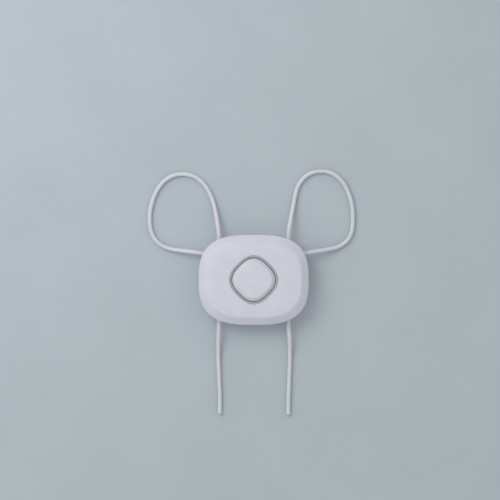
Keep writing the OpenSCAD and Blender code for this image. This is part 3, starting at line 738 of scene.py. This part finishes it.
def rear_ribs():
    """Guides, anvils, seats, cradles and bosses that stand on the rear cover's floor."""
    web = GUIDE_WALL / 2
    anvil_x = CORD_X - CORD_D / 2 - ANVIL_GAP
    anvil_low, anvil_high = CAM.y - ANVIL_FALL, CAM.y + ANVIL_RISE
    seat_x = CORD_X + BORE_R + SEAT_T + web
    frame_half = RELEASE_HALF_Y + RELEASE_GAP + PAD_RIM
    cradle_half = SLEEVE_HIGH.y - ANCHOR_Y + SLEEVE_ROOM + CRADLE_WALL
    leg_stop = CAM + Vector((LEG_STOP_R + SPRING_GAP + TORSION_WIRE / 2 - TORSION_R, -LEG_STOP_Y, 0))
    ridge_count = int((anvil_high - anvil_low) / RIDGE_STEP)
    ridges = [Vector((anvil_x, anvil_low + RIDGE_STEP * k, 0)) for k in range(1, ridge_count)]
    right = [
        drum(Vector((CORD_X, UPPER_GUIDE_Y, CORD_Z)), Vector((CORD_X, BODY.y, CORD_Z)), GUIDE_R),
        block((CORD_X - web, UPPER_GUIDE_Y, 0), (CORD_X + web, BODY.y, CORD_Z)),
        drum(Vector((CORD_X, -BODY.y, CORD_Z)), Vector((CORD_X, LOWER_GUIDE_Y, CORD_Z)), GUIDE_R),
        block((CORD_X - web, -BODY.y, 0), (CORD_X + web, LOWER_GUIDE_Y, CORD_Z)),
        block((anvil_x - ANVIL_T, anvil_low, 0), (anvil_x, anvil_high, CAM_TOP_Z)),
        block((PAD_X, -frame_half, 0), (BODY.x, frame_half, LIP_Z - CAM_GAP)),
        block((seat_x - SEAT_T, SPRING_Y - SEAT_HALF, 0), (seat_x, SPRING_Y + SEAT_HALF, CORD_Z + SEAT_HALF)),
        block((SLEEVE_LOW.x - SLEEVE_ROOM, ANCHOR_Y - cradle_half, 0),
            (BODY.x, ANCHOR_Y + cradle_half, CORD_Z + cradle_half - SLEEVE_ROOM)),
        drum_z(CAM, 0, CAM_Z - CAM_GAP, HUB_R),
        drum_z(leg_stop, 0, TORSION_LOW + TORSION_WIRE, LEG_STOP_R)]
    right += [drum_z(ridge, 0, CAM_TOP_Z, RIDGE_R) for ridge in ridges]
    middle = [drum_z(screw, 0, PART_Z, REAR_BOSS_R) for screw in SCREWS]
    return mirrored(right) + middle + [drum_z(Vector(), 0, DECOY_SEAT_TOP, DECOY_SEAT_R)]


def release_window():
    """The side button's opening, rounded in its corners."""
    outline = rounded_rect(
        RELEASE_HALF_Y + RELEASE_GAP, RELEASE_HALF_Z + RELEASE_GAP, RELEASE_CORNER + RELEASE_GAP)
    return loft("window", [
        [Vector((x, y, CORD_Z + z)) for y, z in outline] for x in (PAD_X - OVERRUN, BODY.x + OVERRUN)])


def wall_reach(reach, across, off):
    """How far out the rear cover's wall lies at the height of the cords, off the middle of that side."""
    inset = REVEAL + LEAN * (PART_Z - CORD_Z) / (PART_Z - BACK_R)
    return (reach - inset) * (1 - (off / (across - inset)) ** BODY_POWER) ** (1 / BODY_POWER)


def rear_holes():
    room_half = RELEASE_HIGH.z - CORD_Z + RELEASE_GAP
    end_y = wall_reach(BODY.y, BODY.x, CORD_X)
    side_x = wall_reach(BODY.x, BODY.y, ANCHOR_Y)
    pocket_r = SLEEVE_HIGH.y - ANCHOR_Y + SLEEVE_ROOM
    pocket_low, pocket_high = SLEEVE_LOW.x - 3 * SLEEVE_ROOM, SLEEVE_HIGH.x + SLEEVE_ROOM
    right = [
        block((RELEASE_IN - RELEASE_TRAVEL - SPRING_GAP, RELEASE_LOW_Y - RELEASE_GAP, CORD_Z - room_half),
            (PAD_X, RELEASE_HIGH.y + RELEASE_GAP, CORD_Z + room_half)),
        drum_z(CAM, CAM_Z - CAM_GAP / 2, PIN_BOSS_Z, HUB_R + CAM_GAP),
        flared_bore(
            Vector((CORD_X, UPPER_GUIDE_Y - OVERRUN, CORD_Z)), Vector((CORD_X, end_y, CORD_Z)), BORE_R),
        flared_bore(
            Vector((CORD_X, LOWER_GUIDE_Y + OVERRUN, CORD_Z)), Vector((CORD_X, -end_y, CORD_Z)), BORE_R),
        drum(Vector((pocket_low, ANCHOR_Y, CORD_Z)), Vector((pocket_high, ANCHOR_Y, CORD_Z)), pocket_r),
        block((pocket_low, ANCHOR_Y - pocket_r + SLEEVE_ROOM / 2, CORD_Z),
            (pocket_high, ANCHOR_Y + pocket_r - SLEEVE_ROOM / 2, PART_Z)),
        flared_bore(
            Vector((pocket_high - OVERRUN, ANCHOR_Y, CORD_Z)), Vector((side_x, ANCHOR_Y, CORD_Z)), BORE_R),
        release_window(),
        drum_z(CAM, PIN_LOW.z, CAM_Z + OVERRUN, PIN_R + PIN_GAP)]
    well_r = HEAD_R + HEAD_GAP
    well = [(0, well_r + HEAD_RIM + OVERRUN), (OVERRUN + HEAD_RIM, well_r), (OVERRUN + HEAD_SEAT_Z, well_r)]
    below = Vector((0, 0, OVERRUN))
    middle = [turned("well", screw - below, (0, 0, 1), well) for screw in SCREWS]
    middle += [drum_z(screw, OVERRUN, PART_Z + OVERRUN, SCREW_R + SCREW_GAP) for screw in SCREWS]
    seat_r = DECOY_COIL_R + DECOY_WIRE / 2 + SPRING_GAP
    seat = drum_z(Vector(), DECOY_SEAT_Z, DECOY_SEAT_TOP + OVERRUN, seat_r)
    return mirrored(right) + middle + [seat]


def rear_shell(material):
    piece = rear_outer()
    carve(piece, [carve(rear_cavity(), rear_ribs(), "DIFFERENCE")], "DIFFERENCE")
    carve(piece, rear_holes(), "DIFFERENCE")
    return dress(piece, material, "housing", "rear_cover")


# Decoy button and its ring

def trim_ring(material):
    profile = soften([
        (RING_HALF, RING_LOW.z + RING_JOIN_HIGH, 0), (RING_HALF, FRONT_Z, RING_SOFT),
        (OPENING_HALF, FRONT_Z - RING_DIP, RING_EDGE_SOFT), (OPENING_HALF, RING_LOW.z, INSIDE_SOFT),
        (RING_HALF, RING_LOW.z, INSIDE_SOFT), (RING_HALF, RING_LOW.z + RING_JOIN_LOW, 0)])
    piece = loft("trim_ring", [diamond_ring(p.x, p.y) for p in profile], loop=True)
    return dress(piece, material, "housing", "button_trim_ring")


def crown_of_button(share):
    return BUTTON_HIGH.z - BUTTON_CROWN * share * share


def decoy_cap(material):
    low_z = BUTTON_LOW.z
    flange_z = low_z + FLANGE_T
    brow_z = BUTTON_HIGH.z - BUTTON_CROWN
    inner = BUTTON_HALF - BUTTON_WALL
    ceiling = brow_z - BUTTON_WALL
    crown = [(BUTTON_HALF * s, crown_of_button(s)) for s in CROWN_SHARES]
    outer = soften([
        (inner, low_z + SKIRT_BACK, 0), (inner, low_z, FLANGE_SOFT), (FLANGE_HALF, low_z, FLANGE_SOFT),
        (FLANGE_HALF, flange_z, FLANGE_SOFT), (BUTTON_HALF, flange_z, INSIDE_SOFT),
        (BUTTON_HALF, SHOULDER_Z, SHOULDER_SOFT), (BUTTON_HALF - SHOULDER_W, brow_z, BROW_SOFT),
        (crown[0][0], crown[0][1], 0)])
    under = [
        (inner * CROWN_SHARES[-1], ceiling), (inner - SHOULDER_W, ceiling), (inner, ceiling - SHOULDER_W)]
    line = under + [(p.x, p.y) for p in outer] + crown[1:]
    piece = loft("decoy_cap", [diamond_ring(half, z) for half, z in line])
    carve(piece, [
        drum_z(Vector(), DECOY_PAD_Z, ceiling + SPRING_GAP, DECOY_PAD_R),
        turned("spigot", Vector((0, 0, low_z)), (0, 0, 1), [
            (0, SPIGOT_R - DECOY_WIRE), (DECOY_WIRE, SPIGOT_R), (ceiling - low_z, SPIGOT_R)])], "UNION")
    return dress(piece, material, "decoy", "decoy_button")


# Release buttons

def release_cap():
    """The right-hand button: its crowned face, flange, nub and the post in its spring."""
    face = RELEASE_HIGH.x
    profile = [(RELEASE_OUT - SPRING_GAP, 0)]
    profile += [(face - RELEASE_SOFT * (1 - math.sin(a)), RELEASE_SOFT * (1 - math.cos(a))) for a in SLOPES]
    profile += [(face, RELEASE_SOFT + (RELEASE_HALF_Z - RELEASE_SOFT) * k) for k in FACE_SHARES]
    rings = []
    for x, inset in profile:
        corner = max(RELEASE_CORNER - inset, LEAST_CORNER)
        outline = rounded_rect(RELEASE_HALF_Y - inset, RELEASE_HALF_Z - inset, corner)
        bow = 0 if x < PAD_X else 1 / (2 * RELEASE_FACE_R)
        rings.append([Vector((x - bow * y * y, y, CORD_Z + z)) for y, z in outline])
    cap = loft("release_cap", rings)
    post_l = RELEASE_OUT - SPRING_GAP - RELEASE_LOW.x
    return carve(cap, [
        block((RELEASE_IN, RELEASE_LOW_Y, RELEASE_LOW.z), (RELEASE_OUT, RELEASE_HIGH.y, RELEASE_HIGH.z)),
        block((NUB_X, ARM_TIP_Y - ARM_TIP_R, CORD_Z - NUB_HALF_Z),
            (RELEASE_OUT - SPRING_GAP, ARM_TIP_Y + ARM_TIP_R + NUB_OVER, CORD_Z + NUB_HALF_Z)),
        turned("post", Vector((RELEASE_LOW.x, SPRING_Y, CORD_Z)), (1, 0, 0), [
            (0, POST_R - RELEASE_WIRE), (RELEASE_WIRE, POST_R), (post_l, POST_R)])], "UNION")


def release_caps(material):
    right, left = mirrored([release_cap()])
    for piece, side in ((right, "right"), (left, "left")):
        piece.name = side + "_release_cap"
        dress(piece, material, side + "_release", side + "_release_button")


# Springs

def coil_path(radius, length, turns):
    """A spring's wire along Z from the origin, its end turns drawn closer together."""
    points = []
    count = round(turns * TURN_STEPS)
    for k in range(count + 1):
        t = k / count
        a = 2 * math.pi * k / TURN_STEPS
        rise = t - END_DRAW * math.sin(2 * math.pi * t) / (2 * math.pi)
        points.append(Vector((radius * math.cos(a), radius * math.sin(a), length * rise)))
    return points


def wire(name, path, diameter):
    return loft(name, tube_rings(path, [diameter / 2] * len(path), WIRE_SIDES))


def decoy_coil(material):
    low = DECOY_SEAT_Z + SPRING_GAP
    high = DECOY_PAD_Z - SPRING_GAP
    start = Vector((0, 0, low + DECOY_WIRE / 2))
    path = [start + p for p in coil_path(DECOY_COIL_R, high - low - DECOY_WIRE, DECOY_TURNS)]
    piece = dress(wire("decoy_coil", path, DECOY_WIRE), material, "housing", "decoy_spring")
    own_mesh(piece)


def release_coils(material):
    seat = CORD_X + BORE_R + SEAT_T + GUIDE_WALL / 2
    low = seat + SPRING_GAP
    high = RELEASE_IN - SPRING_GAP
    coil = coil_path(RELEASE_COIL_R, high - low - RELEASE_WIRE, RELEASE_TURNS)
    for side, sign in (("left", -1), ("right", 1)):
        path = [Vector((sign * (low + RELEASE_WIRE / 2 + p.z), SPRING_Y + p.y, CORD_Z + p.x)) for p in coil]
        piece = wire(side + "_release_coil", path, RELEASE_WIRE)
        dress(piece, material, "housing", side + "_release_spring")
        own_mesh(piece)


def torsion_coils(material):
    turns = []
    count = TORSION_TURNS * TURN_STEPS
    for k in range(count + 1):
        a = math.pi - 2 * math.pi * k / TURN_STEPS
        rise = TORSION_LOW + (TORSION_HIGH - TORSION_LOW) * k / count
        turns.append(Vector((TORSION_R * math.cos(a), TORSION_R * math.sin(a), rise)))
    legs = [TORSION_LEG * (1 - k / LEG_STEPS) for k in range(LEG_STEPS)]
    low_leg = [Vector((-TORSION_R, -y, TORSION_LOW)) for y in legs]
    high_leg = [Vector((-TORSION_R, y, TORSION_HIGH)) for y in reversed(legs)]
    for side, sign in (("left", -1), ("right", 1)):
        path = [Vector((sign * (CAM.x + p.x), CAM.y + p.y, p.z)) for p in low_leg + turns + high_leg]
        piece = wire(side + "_torsion_coil", path, TORSION_WIRE)
        piece.data.materials.append(material)
        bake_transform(piece)
        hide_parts(side + "_cam_spring")


# Screws

def screw_shape():
    """One screw at the origin: a cross-recessed pan head, and a thread that runs out into a point."""
    profile = [(0, HEAD_R - 2 * HEAD_SOFT)]
    profile += [(HEAD_SOFT * (1 - math.cos(a)), HEAD_R - HEAD_SOFT * (1 - math.sin(a))) for a in SLOPES]
    profile += [(HEAD_SEAT_Z - HEAD_Z, HEAD_R)]
    head = turned("screw", Vector((0, 0, HEAD_Z)), (0, 0, 1), profile)
    slots = []
    for x, y in ((DRIVE_L / 2, DRIVE_W / 2), (DRIVE_W / 2, DRIVE_L / 2)):
        slots.append(block((-x, -y, HEAD_Z - OVERRUN), (x, y, HEAD_Z + DRIVE_DEPTH)))
    carve(head, slots, "DIFFERENCE")
    core = SCREW_R - THREAD_DEPTH
    length = SCREW_HIGH.z - HEAD_SEAT_Z
    steps = round(length / THREAD_PITCH * THREAD_STEPS)
    rings = []
    for k in range(-THREAD_STEPS // 2, steps + 1):
        along = length * k / steps
        taper = min(1, max(POINT_SHARE, (length - along) / (2 * THREAD_PITCH)))
        ring = []
        for i in range(THREAD_SIDES):
            a = 2 * math.pi * i / THREAD_SIDES
            phase = (along / THREAD_PITCH + i / THREAD_SIDES) % 1
            ridge = max(0, 1 - abs(phase - 0.5) / RIDGE_SHARE) if along > 0 else 0
            r = taper * (core + THREAD_DEPTH * ridge)
            ring.append(Vector((r * math.cos(a), r * math.sin(a), HEAD_SEAT_Z + along)))
        rings.append(ring)
    return carve(head, [loft("thread", rings)], "UNION")


def screws(material):
    shape = screw_shape()
    made = bmesh.new()
    for screw in SCREWS:
        start = len(made.verts)
        made.from_mesh(shape.data)
        made.verts.ensure_lookup_table()
        for vert in made.verts[start:]:
            vert.co += screw
    bpy.data.objects.remove(shape)
    piece = finish_object("screws", made)
    dress(piece, material, "housing", "housing_screws")


def finish_node(name, material):
    """A CAD piece that shows as it is, in a better material."""
    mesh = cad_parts[name].data
    mesh.materials.clear()
    mesh.materials.append(material)


make_camera()
cord_finish = coated_cord("cord", (202, 204, 213), (207, 209, 218), 0.42)
make_cord("left_cord_piece", LEFT_ROUTE, "left_cord", cord_finish)
make_cord("right_cord_piece", RIGHT_ROUTE, "right_cord", cord_finish)
make_floor()
make_light()

shell_finish = moulded_plastic("shell", (204, 204, 212), (208, 208, 216), 0.46)
trim_finish = moulded_plastic("trim", (160, 160, 166), (165, 165, 171), 0.4)
spring_finish = steel("spring_steel", (176, 178, 182), (196, 198, 202), 0.28)
screw_finish = steel("screw_steel", (168, 170, 174), (190, 192, 196), 0.36)
pin_finish = steel("pin_steel", (186, 187, 190), (202, 203, 206), 0.24)
sleeve_finish = steel("sleeve", (190, 191, 194), (206, 207, 210), 0.34)
cam_finish = moulded_plastic("cam", (198, 203, 210), (205, 209, 216), 0.38)
front_shell(shell_finish)
rear_shell(shell_finish)
trim_ring(trim_finish)
decoy_cap(shell_finish)
release_caps(shell_finish)
decoy_coil(spring_finish)
release_coils(spring_finish)
torsion_coils(spring_finish)
screws(screw_finish)
for side in ("left", "right"):
    finish_node(side + "_cam", cam_finish)
    finish_node(side + "_cam_pin", pin_finish)
    finish_node(side + "_cord_anchor", sleeve_finish)

bpy.context.scene.view_settings.view_transform = "Standard"
